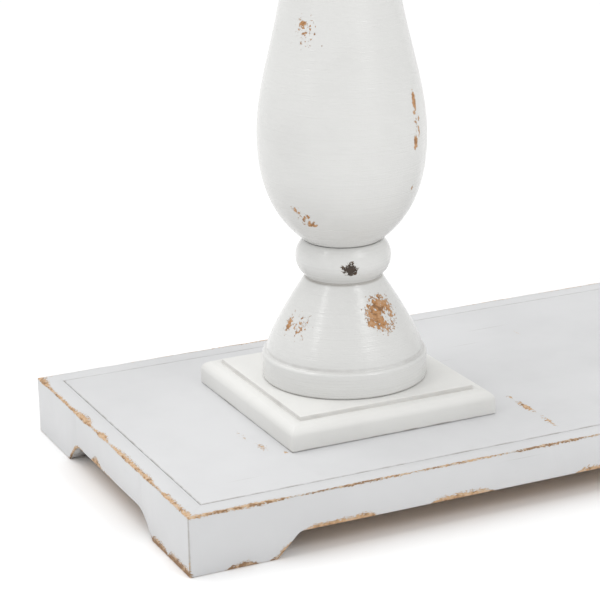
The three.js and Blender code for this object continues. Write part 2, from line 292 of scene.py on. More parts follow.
class Wire:
    """An output of a finish's nodes. Arithmetic on it adds the Math nodes."""

    def __init__(self, finish, socket):
        self.finish = finish
        self.socket = socket

    def math(self, operation, *values):
        return self.finish.math(operation, self, *values)

    def __add__(self, other):
        return self.math("ADD", other)

    def __radd__(self, other):
        return self.math("ADD", other)

    def __sub__(self, other):
        return self.math("SUBTRACT", other)

    def __rsub__(self, other):
        return self.finish.math("SUBTRACT", other, self)

    def __mul__(self, other):
        return self.math("MULTIPLY", other)

    def __rmul__(self, other):
        return self.math("MULTIPLY", other)

    def __truediv__(self, other):
        return self.math("DIVIDE", other)

    def __rtruediv__(self, other):
        return self.finish.math("DIVIDE", other, self)

    def __neg__(self):
        return self.math("MULTIPLY", -1.0)

    def __abs__(self):
        return self.math("ABSOLUTE")


class Finish:
    """One material, made of nodes on the object's own coordinates."""

    def __init__(self, name):
        self.material = bpy.data.materials.new(name)
        self.material.use_nodes = True
        self.tree = self.material.node_tree
        self.shader = self.tree.nodes["Principled BSDF"]
        self.place = self.node("ShaderNodeTexCoord", output="Object")

    def node(self, kind, options=None, inputs=None, output=0):
        made = self.tree.nodes.new(kind)
        for option, value in (options or {}).items():
            setattr(made, option, value)
        for key, value in (inputs or {}).items():
            self.feed(made.inputs[key], value)
        return Wire(self, made.outputs[output])

    def feed(self, socket, value):
        if isinstance(value, Wire):
            self.tree.links.new(value.socket, socket)
        elif hasattr(value, "__len__") and len(value) == 3 and socket.type == "RGBA":
            socket.default_value = (*value, 1.0)
        else:
            socket.default_value = value

    def math(self, operation, *values):
        return self.node("ShaderNodeMath", {"operation": operation}, dict(enumerate(values)))

    def most(self, wires):
        best = wires[0]
        for wire in wires[1:]:
            best = best.math("MAXIMUM", wire)
        return best

    def axes(self):
        split = self.node("ShaderNodeSeparateXYZ", inputs={0: self.place})
        outputs = split.socket.node.outputs
        return [Wire(self, outputs[i]) for i in range(3)]

    def smooth(self, value, low, high):
        """0 at low and 1 at high, smoothly."""
        options = {"interpolation_type": "SMOOTHSTEP"}
        return self.node("ShaderNodeMapRange", options, {0: value, 1: low, 2: high})

    def stretched(self, scale, origin=(0, 0, 0)):
        """The object's coordinates, multiplied by a scale for each axis."""
        return self.node("ShaderNodeMapping", None, {0: self.place, 1: origin, 3: scale})

    def noise(self, scale, detail=2.0, roughness=0.5, place=None, seed=0.0):
        options = {"noise_dimensions": "4D"}
        inputs = {"Vector": place or self.place, "W": seed, "Scale": scale}
        inputs["Detail"] = detail
        inputs["Roughness"] = roughness
        return self.node("ShaderNodeTexNoise", options, inputs)

    def mix(self, factor, first, second):
        return self.node("ShaderNodeMix", {"data_type": "RGBA"}, {0: factor, 6: first, 7: second}, 2)

    def surface(self, **inputs):
        names = {"colour": "Base Color", "roughness": "Roughness", "normal": "Normal"}
        for name, value in inputs.items():
            self.feed(self.shader.inputs[names.get(name, name)], value)
        return self.material

    def bump(self, height, distance):
        """Raises the surface by the height wire times a distance."""
        inputs = {"Strength": 1.0, "Distance": distance, "Height": height}
        return self.node("ShaderNodeBump", None, inputs)


def wood_grain(finish, along, seed=0.0):
    """Fine streaks along an axis, from 0 to 1."""
    fine = [900.0] * 3
    fine[along] = 40.0
    broad = [220.0] * 3
    broad[along] = 9.0
    streaks = finish.noise(1.0, 4, 0.6, finish.stretched(fine), seed)
    bands = finish.noise(1.0, 3, 0.5, finish.stretched(broad), seed + 3)
    return streaks * 0.5 + bands * 0.5


def worn_wood(finish, tone, grain, pale_share, soak=0.0):
    """Bare wood that keeps some of its undercoat and has soaked up stain, most where soak is 1."""
    paint = settings().paint
    blotch = finish.noise(330.0, 4, 0.65, None, 6.0)
    stained = finish.smooth(blotch + grain * 0.35 + soak * 0.15, 0.66, 0.82)
    pale = finish.smooth(blotch, 0.52, 0.36)
    bare = finish.mix(pale * pale_share, tone, paint.primer)
    return finish.mix(stained * 0.75, bare, paint.brown)


def painted(finish, white, roughness, bare, grain, worn, grime_and_shade, brush):
    """White paint over wood. worn is over 0 where the paint is gone, in millimetres from its edge,
    the next mask is how far grime and painted shade darken the paint, and brush is the relief of the
    strokes."""
    paint = settings().paint
    gone = finish.smooth(worn, -0.06, 0.14)
    rim = finish.smooth(worn, -0.5, 0.0)
    mottle = finish.noise(14.0, 4, 0.6, None, 5.0)
    fleck = finish.noise(900.0, 2, 0.5, None, 12.0)
    shade = [channel * 0.945 for channel in white]
    coat = finish.mix(finish.smooth(mottle, 0.35, 0.7), white, shade)
    # Mixes in the dark grime colour, which also stands for painted shade in creases and at contacts.
    coat = finish.mix(grime_and_shade, coat, paint.grime_and_shade)
    coat = finish.mix(rim * 0.4, coat, paint.primer)
    height = (1.0 - gone) * 0.6 + brush + gone * grain * 0.35 + fleck * 0.05
    return finish.surface(
        colour=finish.mix(gone, coat, bare),
        roughness=roughness + gone * 0.35 + mottle * 0.06,
        normal=finish.bump(height, RELIEF),
    )


def patches(finish, along, places):
    """1 on each of the stretches, given as a middle and a half length in millimetres, else 0."""
    return finish.most([
        finish.smooth(abs(along - middle * MM), (half + FADE_OUTSIDE) * MM, (half - FADE_INSIDE) * MM)
        for middle, half in places
    ])


def chip(finish, place, size, turn, ragged, fill, grit):
    """Over 0 inside a ragged oval, in millimetres from its edge. A low fill leaves only specks."""
    inputs = {0: finish.place, 1: place, 2: (0, 0, turn), 3: size}
    local = finish.node("ShaderNodeMapping", {"vector_type": "TEXTURE"}, inputs)
    spread = finish.node("ShaderNodeVectorMath", {"operation": "LENGTH"}, {0: local}, "Value")
    return (fill - spread + grit * ragged) * (min(size[0], size[2]) / MM)


# How far a heavy stretch fades out past its ends and in from them, in millimetres.
FADE_OUTSIDE = 7
FADE_INSIDE = 4
# Stretches of heavy wear along the platform's edges, as the middle and the half length.
LEFT_EDGE_WEAR = ((44, 12), (-36, 24), (-97, 14), (109, 6), (10, 5))
RIGHT_EDGE_WEAR = ((70, 18), (-12, 12), (-84, 24))
FRONT_EDGE_WEAR = ((-432, 27), (-241, 9), (20, 26), (352, 40))
FRONT_STAIN = ((-402, 50), (-250, 22), (60, 40), (300, 30))
BACK_EDGE_WEAR = ((-300, 30), (90, 45), (400, 22))
FRONT_FOOT_WEAR = (
    (-428, 6), (-407, 4), (-373, 18), (-302, 16), (-221, 8), (-60, 24), (180, 20), (420, 12),
)
BACK_FOOT_WEAR = ((-410, 14), (-150, 30), (60, 18), (330, 26))
LEFT_FOOT_WEAR = ((-74, 9), (-101, 13), (18, 4))
RIGHT_FOOT_WEAR = ((-90, 12), (10, 16), (80, 12))

TOP_CHIP_DEPTH = 4 * MM
# Chips on the platform's top: place along and across, half sizes, raggedness and fill.
TOP_CHIPS = (
    (-386, -47, 2.6, 6.0, 1.4, 0.4),
    (-378, -59, 1.4, 1.8, 0.8, 0.7),
    (-231, -60, 2.2, 9.5, 1.1, 0.75),
    (-231, -44, 2.0, 4.0, 1.2, 0.5),
    (-231, -84, 2.4, 11.0, 1.4, 0.3),
    (-372, -48, 4.0, 9.0, 1.4, -0.05),
    (-389, -28, 2.2, 12.0, 1.5, -0.1),
    (-170, 52, 0.9, 5.0, 1.2, 0.1),
    (-124, 104, 0.9, 4.0, 1.2, 0.1),
    (96, -30, 3.0, 7.0, 1.3, 0.2),
    (150, 62, 6.0, 2.4, 1.3, 0.1),
    (224, -66, 2.4, 8.0, 1.3, 0.3),
    (-60, 70, 5.0, 2.0, 1.4, 0.0),
    (402, 20, 2.2, 7.0, 1.3, 0.2),
)


def platform_paint(name, grain_axis):
    """Worn paint on the platform. Wear follows the edges, so it is worked out from their distance."""
    paint = settings().paint
    sizes = settings().platform
    finish = Finish(name)
    x, y, z = finish.axes()
    half_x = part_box("apron_right")[1].x
    half_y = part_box("apron_back")[1].y
    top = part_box("top_panel")[1].z
    in_x = half_x - abs(x)
    in_y = half_y - abs(y)
    down = top - z
    # Noise scales along each axis, in features to the metre. They are coarser along the grain.
    splinters = [1800.0] * 3
    splinters[grain_axis] = 700.0
    cracks = [620.0] * 3
    cracks[grain_axis] = 9.0
    strokes = [700.0] * 3
    strokes[grain_axis] = 22.0
    grit = (finish.noise(520.0, 5, 0.68) - 0.5) * 4.0
    splinter = (finish.noise(1.0, 4, 0.6, finish.stretched(splinters)) - 0.5) * 4.0
    ragged = grit * 0.5 + splinter * 1.3
    drift = finish.smooth(finish.noise(38.0, 3, 0.5, None, 2.0), 0.42, 0.62)

    def edge(first, second, width):
        return width - (first + second) / MM + ragged * (width * 0.45 + 0.35)

    right = finish.smooth(x, -10 * MM, 10 * MM)
    back = finish.smooth(y, -10 * MM, 10 * MM)

    def both(side, along, low_places, high_places):
        low_side = (1.0 - side) * patches(finish, along, low_places)
        return low_side + side * patches(finish, along, high_places)

    end_width = both(right, y, LEFT_EDGE_WEAR, RIGHT_EDGE_WEAR) * 2.2 + drift * 1.1 + 0.9
    long_width = both(back, x, FRONT_EDGE_WEAR, BACK_EDGE_WEAR) + drift * 0.6 + 0.9
    inward = in_x.math("MINIMUM", in_y)
    slope_long = (half_x - sizes.foot_long - abs(x)).math("MAXIMUM", 0.0)
    slope_end = (half_y - sizes.foot_end - abs(y)).math("MAXIMUM", 0.0)
    under_long = z - slope_long.math("SMOOTH_MIN", sizes.cut_height, sizes.fillet_long)
    under_end = z - slope_end.math("SMOOTH_MIN", sizes.cut_height, sizes.fillet_end)
    low_long = both(back, x, FRONT_FOOT_WEAR, BACK_FOOT_WEAR) * 2.8 + drift * 0.6 - 0.6
    low_end = both(right, y, LEFT_FOOT_WEAR, RIGHT_FOOT_WEAR) * 4.6 + drift * 1.3 - 0.4
    worn = [
        edge(in_x, down * 3.0, end_width),
        edge(in_y, down * 1.6, long_width),
        edge(in_y, under_long, low_long),
        edge(in_x, under_end, low_end),
        edge(in_x, in_y, 0.9 - z * 60.0),
    ]
    for along, across, half_along, half_across, roughness, fill in TOP_CHIPS:
        place = (along * MM, across * MM, top)
        size = (half_along * MM, half_across * MM, TOP_CHIP_DEPTH)
        worn.append(chip(finish, place, size, 0.0, roughness, fill, grit))
    facing = finish.node("ShaderNodeNewGeometry", output="Normal")
    tilt = finish.node("ShaderNodeSeparateXYZ", inputs={0: facing}, output="Z")
    underside = finish.smooth(tilt, -0.85, -0.95)
    slope = finish.smooth(tilt, -0.3, -0.6)
    worn = finish.most(worn).math("MAXIMUM", underside * 3.0 - 2.0)
    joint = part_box("apron_back")[1].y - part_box("top_panel")[1].y - 0.25 * MM
    soot = finish.smooth(finish.noise(90.0, 3, 0.6, None, 14.0), 0.36, 0.62)
    groove = finish.smooth(abs(inward - joint), 0.9 * MM, 0.2 * MM) * (soot * 0.35 + 0.06)
    smudge = finish.smooth(finish.noise(55.0, 4, 0.6, None, 11.0), 0.6, 0.85) * 0.06
    # Darker in mottled patches on faces that tilt downward, such as the slopes of the cut-outs.
    downward_mottle = slope * finish.smooth(finish.noise(260.0, 4, 0.7, None, 4.0), 0.35, 0.6) * 0.6
    brush = finish.noise(1.0, 3, 0.55, finish.stretched(strokes)) * 0.2
    grain = wood_grain(finish, grain_axis)
    arris = (down + inward) / MM + grit * 0.25
    handled = finish.smooth(arris, 1.0, 0.5) * (soot * 0.5 + 0.2)
    splits = finish.noise(1.0, 2, 0.5, finish.stretched(cracks), 21.0)
    crack = finish.smooth(splits, 0.72, 0.78) * 0.5
    corner = finish.smooth((in_x + in_y) / MM + grit * 0.25, 1.2, 0.5) * 0.5
    grime_and_shade = finish.most([groove, smudge, downward_mottle, handled, crack, corner])
    front_stain = (1.0 - back) * patches(finish, x, FRONT_STAIN)
    soak = finish.most([
        finish.smooth(z, 6 * MM, 1 * MM),
        finish.smooth(arris, 1.4, 0.3) * soot,
        finish.smooth((in_y + down) / MM, 2.0, 0.6) * front_stain,
    ])
    bare = worn_wood(finish, paint.tan, grain, 0.4, soak)
    return painted(finish, paint.platform, paint.satin, bare, grain, worn, grime_and_shade, brush)


# Chips on a column: bearing from the front, height, half width, half height, raggedness and fill.
COLUMN_CHIPS = (
    (-57, 247.5, 10.0, 9.5, 1.6, -0.05),
    (-61, 252, 3.4, 2.6, 1.1, 0.6),
    (34, 209, 1.8, 5.4, 0.7, 0.95),
    (32, 202.4, 1.5, 2.0, 0.9, 0.6),
    (37, 198.8, 1.4, 2.2, 0.9, 0.6),
    (36.5, 193, 1.3, 3.6, 0.9, 0.7),
    (31.5, 187, 1.8, 4.2, 0.7, 0.95),
    (33, 196, 3.4, 9.0, 1.5, -0.15),
    (32.7, 161.5, 1.2, 2.4, 1.1, 0.4),
    (-65, 152, 4.0, 3.0, 1.5, 0.15),
    (-57.5, 147.6, 6.0, 4.0, 1.6, 0.15),
    (-52.5, 144.2, 3.4, 2.4, 1.0, 0.8),
    (15, 90.5, 9.2, 8.4, 0.75, 0.95),
    (2, 87, 3.2, 3.6, 0.9, 0.8),
    (-85, 83.5, 3.2, 5.6, 1.1, 0.6),
    (-70, 84, 8.5, 8.5, 1.7, 0.05),
    (150, 226, 3.0, 6.5, 1.3, 0.4),
    (176, 171, 2.2, 5.0, 1.2, 0.5),
    (120, 140, 4.6, 3.0, 1.4, 0.3),
    (-140, 196, 1.8, 6.0, 1.1, 0.6),
    (-150, 84, 6.0, 5.0, 1.2, 0.5),
    (100, 94, 3.6, 4.0, 1.3, 0.3),
    (-35, 300, 2.4, 4.5, 1.3, 0.3),
    (60, 330, 3.6, 2.6, 1.2, 0.4),
    (-20, 352, 5.0, 3.6, 1.4, 0.2),
    (140, 362, 4.0, 4.2, 1.3, 0.3),
)
DARK_CHIPS = (
    (-18.5, 116.6, 4.2, 3.8, 0.8, 0.95),
    (-28, 118.2, 2.4, 1.6, 1.2, 0.4),
    (160, 118, 3.6, 3.0, 1.0, 0.8),
)
# A chip's centre lies at this share of the vase's foot radius, and reaches this far in and out.
CHIP_CENTRE = 1.6
CHIP_REACH = 60 * MM
# Flakes of paint left inside the chips.
PAINT_ISLANDS = (
    (20, 88.5, 3.4, 4.8, 1.1, 0.75),
    (9, 93.5, 1.8, 1.6, 1.2, 0.2),
    (-23, 114.5, 1.6, 1.4, 1.2, 0.5),
)


def column_chips(finish, chips, centre_x, turn, grit):
    """Each chip reaches through one side of the column, so only its direction is exact."""
    radius = settings().turning.vase_foot * CHIP_CENTRE
    marks = []
    for bearing, height, half_width, half_height, ragged, fill in chips:
        angle = math.radians(bearing + turn)
        place = (centre_x + radius * math.sin(angle), -radius * math.cos(angle), height * MM)
        size = (half_width * MM, CHIP_REACH, half_height * MM)
        marks.append(chip(finish, place, size, angle, ragged, fill, grit))
    return finish.most(marks)


def column_paint(name, centre_x, turn):
    """Chipped paint on one turned column."""
    paint = settings().paint
    turning = settings().turning
    finish = Finish(name)
    z = finish.axes()[2]
    grain = wood_grain(finish, 2)
    grit = (finish.noise(560.0, 5, 0.66) - 0.5) * 4.0
    tan = column_chips(finish, COLUMN_CHIPS, centre_x, turn, grit)
    dark = column_chips(finish, DARK_CHIPS, centre_x, turn, grit)
    islands = column_chips(finish, PAINT_ISLANDS, centre_x, turn, grit)
    bare = worn_wood(finish, paint.orange, grain, 0.25)
    burnt = finish.mix(finish.smooth(grit, 0.1, 0.9), paint.dark, paint.brown)
    bare = finish.mix(finish.smooth(dark, -0.8, 0.0), bare, burnt)
    worn = tan.math("MAXIMUM", dark).math("MINIMUM", -islands)

    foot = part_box("foot_turning_left")[0].z
    ledge = foot + turning.disc_height
    crease = ledge + turning.bell_height + CREASE_MIDDLE * turning.crease
    patchy = finish.smooth(finish.noise(70.0, 3, 0.6, None, 15.0), 0.35, 0.65)
    smudge = finish.smooth(finish.noise(42.0, 4, 0.6, None, 7.0), 0.6, 0.85) * 0.05
    facing = finish.node("ShaderNodeNewGeometry", output="Normal")
    tilt = finish.node("ShaderNodeSeparateXYZ", inputs={0: facing}, output="Z")
    grime_and_shade = finish.most([
        smudge,
        # Painted shade: faces that tilt downward, such as the bead's underside, are darkened.
        finish.smooth(tilt, -0.05, -0.7) * 0.14,
        # Painted shade, with a little grime, in the crease under the bead.
        finish.smooth(abs(z - crease), 1.3 * MM, 0.3 * MM) * 0.45,
        # Grime and painted shade in the cove where the bell meets the disc.
        finish.smooth(abs(z - ledge - 1.0 * MM), 1.6 * MM, 0.4 * MM) * (patchy * 0.16 + 0.04),
        # Partly grime, partly painted contact shadow, where the disc sits on the plinth.
        finish.smooth(z - foot, 1.2 * MM, 0.2 * MM) * (patchy * 0.3 + 0.05),
    ])
    rings = finish.noise(1.0, 3, 0.6, finish.stretched((14.0, 14.0, 1300.0)))
    bands = finish.noise(1.0, 2, 0.5, finish.stretched((9.0, 9.0, 260.0)), 4.0)
    streaks = finish.noise(1.0, 3, 0.5, finish.stretched((260.0, 260.0, 9.0)), 8.0)
    brush = rings * 1.1 + bands * 0.5 + streaks * 0.4
    return painted(finish, paint.column, paint.gloss, bare, grain, worn, grime_and_shade, brush)


def plinth_paint(name):
    """Paint on the square mouldings, rubbed a little at the corners."""
    paint = settings().paint
    sizes = settings().plinth
    finish = Finish(name)
    x, y, z = finish.axes()
    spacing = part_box("plinth_middle")[0].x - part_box("plinth_left")[0].x
    low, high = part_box("plinth_middle")
    half = high.x
    in_x = half - abs(x - (x / spacing).math("ROUND") * spacing)
    in_y = half - abs(y)
    grit = (finish.noise(560.0, 5, 0.66) - 0.5) * 4.0
    drift = finish.smooth(finish.noise(60.0, 2, 0.5, None, 3.0), 0.45, 0.65)
    worn = finish.most([
        drift * 0.9 - 0.9 - (in_x + in_y) / MM + grit,
        drift * 0.6 - 1.3 - ((z - low.z) + in_x.math("MINIMUM", in_y)) / MM + grit,
    ])
    inward = in_x.math("MINIMUM", in_y)
    ledge = sizes.ovolo_width + sizes.ledge
    # Painted shade, patchy with grime, in the quirk at the foot of the raised field.
    quirk = finish.smooth(abs(inward - ledge + 0.2 * MM), 0.6 * MM, 0.2 * MM) * (drift * 0.1 + 0.14)
    smudge = finish.smooth(finish.noise(60.0, 4, 0.6, None, 9.0), 0.6, 0.85) * 0.05
    brush = finish.noise(1.0, 3, 0.55, finish.stretched((60.0, 60.0, 700.0))) * 0.25
    # Grime and painted contact shadow along the moulding's foot, where it sits on the platform.
    contact_grime_and_shadow = finish.smooth(z - low.z, 1.0 * MM, 0.3 * MM) * (drift * 0.6 + 0.1)
    grime_and_shade = finish.most([quirk, smudge, contact_grime_and_shadow])
    grain = wood_grain(finish, 0)
    bare = worn_wood(finish, paint.tan, grain, 0.4)
    return painted(finish, paint.plinth, paint.satin, bare, grain, worn, grime_and_shade, brush)


def bare_wood(name, along):
    """Unfinished wood with its grain along an axis."""
    paint = settings().paint
    finish = Finish(name)
    grain = wood_grain(finish, along)
    light = [min(1.0, channel * 1.25) for channel in paint.hidden]
    tone = finish.mix(finish.smooth(grain, 0.32, 0.68), light, paint.hidden)
    return finish.surface(
        colour=tone, roughness=0.7 + grain * 0.15, normal=finish.bump(grain, RELIEF)
    )


def plated_steel(name):
    """Dull plated steel with drawn lines round it."""
    finish = Finish(name)
    lines = finish.noise(1.0, 3, 0.6, finish.stretched((60.0, 60.0, 2400.0)))
    cloud = finish.noise(120.0, 3, 0.6)
    tone = finish.mix(cloud, (0.52, 0.52, 0.5), (0.68, 0.68, 0.66))
    return finish.surface(
        colour=tone, roughness=0.28 + cloud * 0.18, Metallic=1.0, normal=finish.bump(lines, 0.05 * MM)
    )


def finish_for(name, make, *values):
    """The named material, made the first time that it is asked for."""
    return bpy.data.materials.get(name) or make(name, *values)


# ---- Mesh tools ----


def place_piece(name, shape, nodes, material):
    """Turns a finished bmesh into a piece that stands for CAD nodes."""
    mesh = bpy.data.meshes.new(name)
    shape.to_mesh(mesh)
    shape.free()
    mesh.shade_smooth()
    mesh.set_sharp_from_angle(angle=SHARP_EDGE)
    mesh.materials.append(material)
    piece = bpy.data.objects.new(name, mesh)
    bpy.context.collection.objects.link(piece)
    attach(piece, BODY)
    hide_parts(*nodes)
    return piece


def tidy_shell(shape):
    bmesh.ops.remove_doubles(shape, verts=shape.verts, dist=JOIN_DISTANCE)
    bmesh.ops.recalc_face_normals(shape, faces=shape.faces)


class Outline:
    """The half section of a turned piece: points of radius and height, from the bottom up."""

    def __init__(self, radius, height):
        self.points = [Vector((radius, height))]

    def line(self, radius, height):
        self.points.append(Vector((radius, height)))

    def curve(self, handle_a, handle_b, end, steps=24):
        ends = [Vector(point) for point in (handle_a, handle_b, end)]
        self.points += interpolate_bezier(self.points[-1], *ends, steps + 1)[1:]

    def bead(self, full_radius, height, steps=24):
        """A round swelling that ends at the radius it starts from."""
        edge_radius, bottom = self.points[-1]
        swell = full_radius - edge_radius
        half = height / 2
        radius = (half * half + swell * swell) / (2 * swell)
        reach = math.asin(half / radius)
        for i in range(1, steps + 1):
            angle = reach * (2 * i / steps - 1)
            across = full_radius - radius + radius * math.cos(angle)
            self.line(across, bottom + half + radius * math.sin(angle))

    def ease(self, radius, steps=4):
        """Rounds every hard corner off the axis."""
        eased = [self.points[0]]
        for before, corner, after in zip(self.points, self.points[1:], self.points[2:]):
            back = before - corner
            ahead = after - corner
            if back.angle(-ahead) < HARD_CORNER:
                eased.append(corner)
                continue
            reach = min(radius, back.length * 0.45, ahead.length * 0.45)
            start = corner + back.normalized() * reach
            end = corner + ahead.normalized() * reach
            handles = [point.lerp(corner, EASED_CORNER) for point in (start, end)]
            eased += interpolate_bezier(start, *handles, end, steps + 1)
        eased.append(self.points[-1])
        self.points = eased

    def spin(self, shape, centre, steps, start_angle=0.0):
        """Spins the outline about the vertical through centre."""
        turn = Matrix.Rotation(start_angle, 3, "Z")
        ring = [shape.verts.new(centre + turn @ Vector((r, 0, z))) for r, z in self.points]
        lines = [shape.edges.new(pair) for pair in zip(ring, ring[1:])]
        bmesh.ops.spin(
            shape, geom=ring + lines, cent=centre, axis=(0, 0, 1), angle=math.tau,
            steps=steps, use_merge=True,
        )
        tidy_shell(shape)


def bevel_sharp(shape, width, segments=2):
    """Rounds every edge that isn't smooth already."""
    hard = [e for e in shape.edges if e.is_manifold and e.calc_face_angle() > SHARP_EDGE]
    bmesh.ops.bevel(
        shape, geom=hard, offset=width, affect="EDGES", segments=segments, profile=0.5,
        material=-1, clamp_overlap=True,
    )


def block(low, high, edge):
    """A box with eased edges."""
    shape = bmesh.new()
    bmesh.ops.create_cube(shape, size=1.0)
    bmesh.ops.scale(shape, verts=shape.verts, vec=high - low)
    bmesh.ops.translate(shape, verts=shape.verts, vec=(low + high) / 2)
    bevel_sharp(shape, edge)
    return shape


def foot_of(node):
    """The middle of a node's underside."""
    low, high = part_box(node)
    return Vector(((low.x + high.x) / 2, (low.y + high.y) / 2, low.z))


# ---- Pieces ----


def apron_board(half, thickness, height, foot, fillet):
    """A board along X with its outer face on y = 0, cut out below and mitred at both ends."""
    sizes = settings().platform
    shape = bmesh.new()
    bmesh.ops.create_cube(shape, size=1.0)
    bmesh.ops.scale(shape, verts=shape.verts, vec=(2 * half, thickness, height))
    bmesh.ops.translate(shape, verts=shape.verts, vec=(0, thickness / 2, height / 2))
    stations = {half - foot, half - foot - sizes.cut_height}
    fine = 1.5 * MM
    reach = max(fillet * 1.6, 2 * fine)
    steps = round(2 * reach / fine)
    stations |= {half - foot - sizes.cut_height - reach + i * fine for i in range(steps + 1)}
    count = round(half / sizes.station)
    stations |= {half * (i + 0.5) / count for i in range(count)}
    cuts = []
    for place in sorted(stations):
        if not cuts or place - cuts[-1] > 0.4 * MM:
            cuts.append(place)
    for place in cuts:
        for side in (-1, 1):
            everything = shape.verts[:] + shape.edges[:] + shape.faces[:]
            bmesh.ops.bisect_plane(
                shape, geom=everything, plane_co=(side * place, 0, 0), plane_no=(1, 0, 0)
            )
    for vert in shape.verts:
        if vert.co.z < height / 2:
            slope = max(half - foot - abs(vert.co.x), 0.0)
            gap = max(fillet - abs(slope - sizes.cut_height), 0.0)
            vert.co.z = min(slope, sizes.cut_height) - gap * gap / (4 * fillet)
            vert.co.z = max(vert.co.z, 0.0)
    tidy_shell(shape)
    bevel_sharp(shape, sizes.edge)
    for side in (-1, 1):
        everything = shape.verts[:] + shape.edges[:] + shape.faces[:]
        bmesh.ops.bisect_plane(
            shape, geom=everything, plane_co=(side * half, 0, 0), plane_no=(side, 1, 0),
            clear_outer=True,
        )
        rim = [e for e in shape.edges if e.is_boundary]
        bmesh.ops.holes_fill(shape, edges=rim, sides=0)
    tidy_shell(shape)
    return shape


def wear_edges(shape, height, heavy):
    """Wears the outer upper edge away, more on the heavy stretches."""
    depth = settings().platform.wear
    band = 2 * depth
    for vert in shape.verts:
        distance = vert.co.y + (height - vert.co.z)
        if distance > band:
            continue
        rough = noise.noise(Vector((vert.co.x * 90, 1.7, 0))) * 0.5 + 0.5
        patch = any(abs(vert.co.x - middle) < reach for middle, reach in heavy)
        amount = depth * rough * (1.0 if patch else 0.5) * (1 - distance / band)
        vert.co.y += amount
        vert.co.z -= amount


def plinth_moulding(node):
    """A band, an ovolo and a raised field, spun in four steps so that it comes out square."""
    sizes = settings().plinth
    size = box_size(node)
    half = size.x / 2
    ledge = half - sizes.ovolo_width
    field = ledge - sizes.ledge
    ovolo_top = sizes.band + sizes.ovolo_height
    corner = math.sqrt(2)
    bore = settings().hardware.bolt_bore
    outline = Outline(bore * corner, 0)
    outline.line(half * corner, 0)
    outline.line(half * corner, sizes.band)
    outline.curve(
        (half * corner, sizes.band + QUARTER_CIRCLE * sizes.ovolo_height),
        ((ledge + QUARTER_CIRCLE * sizes.ovolo_width) * corner, ovolo_top),
        (ledge * corner, ovolo_top),
        10,
    )
    outline.line((field + 0.4 * sizes.ledge) * corner, ovolo_top - sizes.quirk)
    outline.line(field * corner, ovolo_top - sizes.quirk)
    outline.line(field * corner, size.z)
    outline.line(bore * corner, size.z)
    outline.line(bore * corner, 0)
    outline.ease(sizes.edge * corner)
    shape = bmesh.new()
    outline.spin(shape, foot_of(node), 4, math.pi / 4)
    bevel_sharp(shape, sizes.edge * 0.8)
    return shape


def foot_turning(node):
    """Disc, bell, crease and bead, with the bolt's hole below and the dowel's above."""
    turning = settings().turning
    bores = settings().hardware
    size = box_size(node)
    disc = size.x / 2
    bell_top = turning.disc_height + turning.bell_height
    bead_bottom = bell_top + turning.crease
    outline = Outline(0, bores.bolt_depth)
    outline.line(bores.bolt_bore, bores.bolt_depth)
    outline.line(bores.bolt_bore, 0)
    outline.line(disc, 0)
    outline.line(disc, turning.disc_height - turning.disc_round)
    outline.curve(
        (disc, turning.disc_height - (1 - EASED_CORNER) * turning.disc_round),
        (disc - EASED_CORNER * turning.disc_round, turning.disc_height),
        (disc - turning.disc_round, turning.disc_height),
        FEW_STEPS,
    )
    outline.curve(
        (turning.bell_radius + COVE_RUN, turning.disc_height + COVE_START),
        (turning.bell_radius, turning.disc_height + COVE_BEND),
        (turning.bell_radius, turning.disc_height + COVE_RISE),
        FEW_STEPS,
    )
    outline.curve(
        (turning.bell_radius - BELL_WALL_LEAN, turning.disc_height + BELL_WALL_RISE),
        (turning.bell_neck + BELL_SHOULDER_RUN, bell_top - BELL_SHOULDER_RISE),
        (turning.bell_neck, bell_top),
        40,
    )
    outline.line(turning.bell_neck - CREASE_LIP_RUN, bell_top + CREASE_LIP_RISE)
    outline.line(turning.bell_neck - CREASE_DEPTH, bell_top + CREASE_MIDDLE * turning.crease)
    outline.line(turning.bead_edge - BEAD_LIP_RUN, bead_bottom - BEAD_LIP_DROP)
    outline.line(turning.bead_edge, bead_bottom)
    outline.bead(turning.bead_edge + turning.bead_swell, size.z - bead_bottom, 28)
    outline.line(bores.dowel_bore, size.z)
    outline.line(bores.dowel_bore, size.z - bores.dowel_depth)
    outline.line(0, size.z - bores.dowel_depth)
    outline.ease(turning.edge)
    return outline


def vase_turning(node):
    """Belly, neck and flared collar, with a dowel hole at each end."""
    turning = settings().turning
    bores = settings().hardware
    size = box_size(node)
    belly = size.x / 2
    neck_height = size.z - turning.collar_height
    outline = Outline(0, bores.dowel_depth)
    outline.line(bores.dowel_bore, bores.dowel_depth)
    outline.line(bores.dowel_bore, 0)
    outline.line(turning.vase_foot, 0)
    outline.curve(
        (turning.vase_foot + VASE_FLARE_RUN, VASE_FLARE_RISE),
        (belly, turning.belly_height - turning.belly_fullness),
        (belly, turning.belly_height),
        48,
    )
    outline.curve(
        (belly, turning.belly_height + turning.belly_fullness),
        (turning.neck, neck_height - turning.neck_fullness),
        (turning.neck, neck_height),
        72,
    )
    outline.curve(
        (turning.neck, neck_height + COLLAR_FLARE * turning.collar_height),
        (turning.neck + COLLAR_FLARE * (turning.collar - turning.neck), size.z),
        (turning.collar, size.z),
        FEW_STEPS,
    )
    outline.line(bores.dowel_bore, size.z)
    outline.line(bores.dowel_bore, size.z - bores.dowel_depth)
    outline.line(0, size.z - bores.dowel_depth)
    outline.ease(turning.edge)
    return outline


